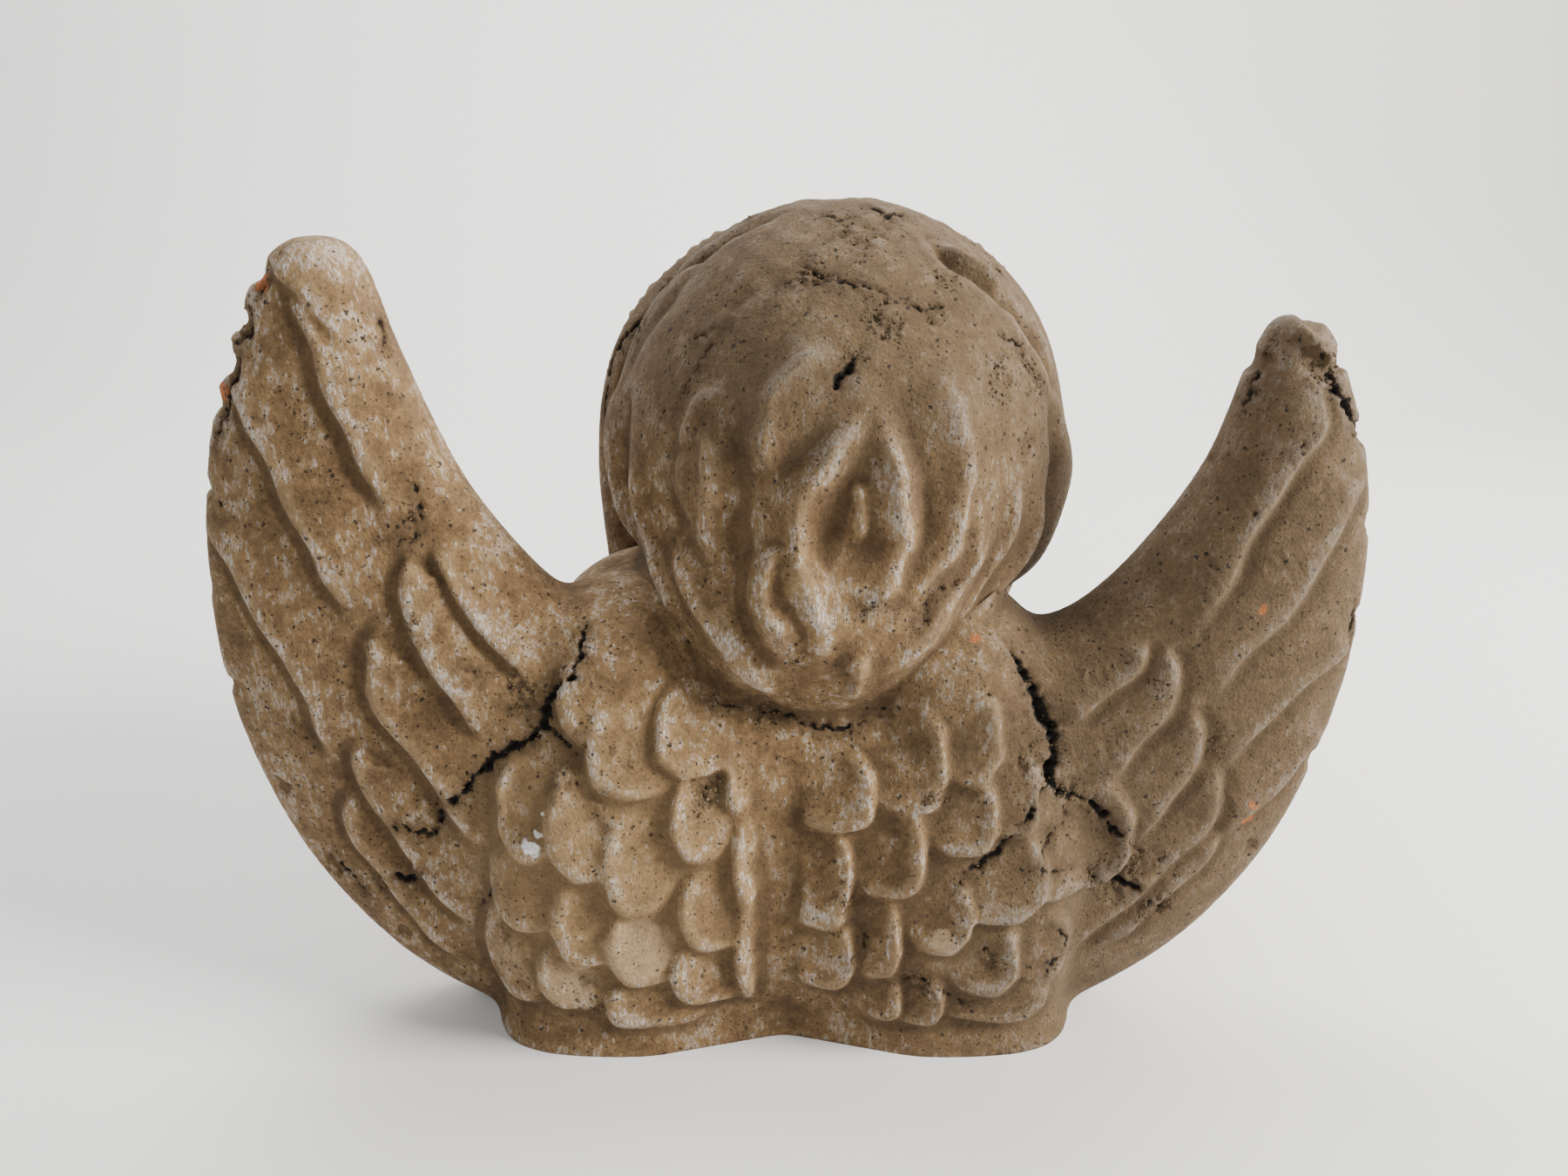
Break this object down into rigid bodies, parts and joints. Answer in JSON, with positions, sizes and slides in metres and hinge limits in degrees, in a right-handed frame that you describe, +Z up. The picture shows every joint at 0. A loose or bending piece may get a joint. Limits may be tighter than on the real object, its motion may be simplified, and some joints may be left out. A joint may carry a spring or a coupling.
{
  "type": "cement angel head sculpture",
  "caption": "Weathered cement garden ornament: a curly child's head between two raised feathered wings on a flat-bottomed block.",
  "frame": {"origin": "middle of the flat underside, below the spine", "axes": "+Z up, -Y the way the face looks, +Y the feathered back, +X the figure's own left wing"},
  "size_m": [0.3441, 0.1901, 0.2558],
  "materials": {
    "cement": "matt, weathered, pitted"
  },
  "bodies": {
    "root": {"angel_head": "cement"}
  },
  "joints": []
}
